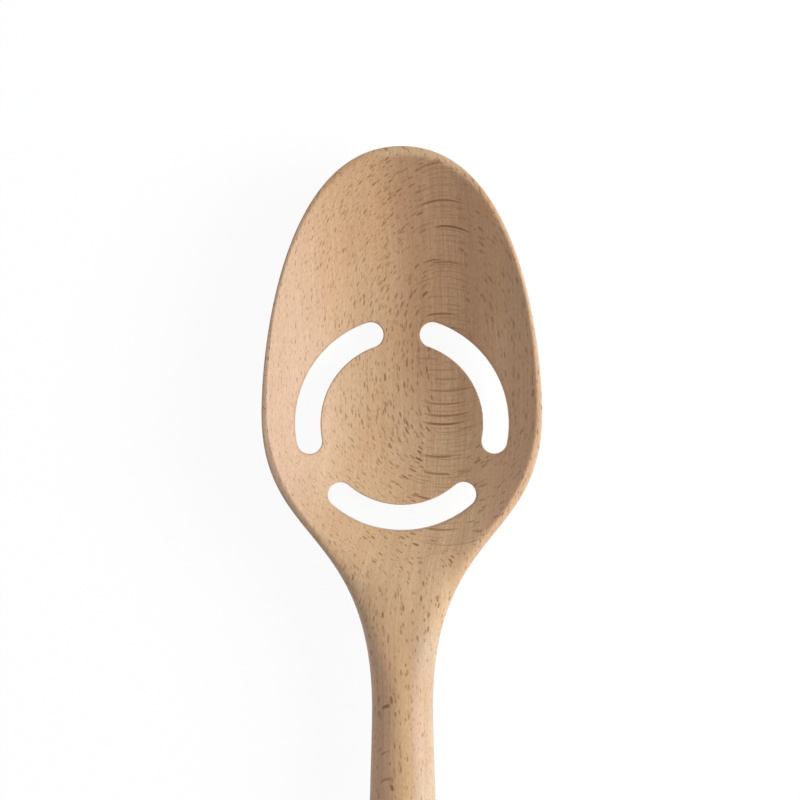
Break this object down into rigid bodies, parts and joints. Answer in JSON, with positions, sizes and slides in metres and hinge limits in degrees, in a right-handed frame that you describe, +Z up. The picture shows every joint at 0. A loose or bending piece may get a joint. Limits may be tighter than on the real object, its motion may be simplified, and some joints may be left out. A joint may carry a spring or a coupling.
{
  "type": "egg separator spoon",
  "caption": "Wooden spoon with an egg-shaped bowl and a ring of curved slots through it, so egg white drains away while the yolk stays in the bowl.",
  "frame": {"origin": "on the table under the middle of the spoon's length and width, with the spoon lying on its back", "axes": "+Z up, out of the hollow; +Y along the spoon, from the handle's end to the bowl's tip; +X across the bowl"},
  "size_m": [0.063, 0.3, 0.0175],
  "materials": {
    "beech": "satin"
  },
  "bodies": {
    "root": {"spoon": "beech"}
  },
  "joints": []
}
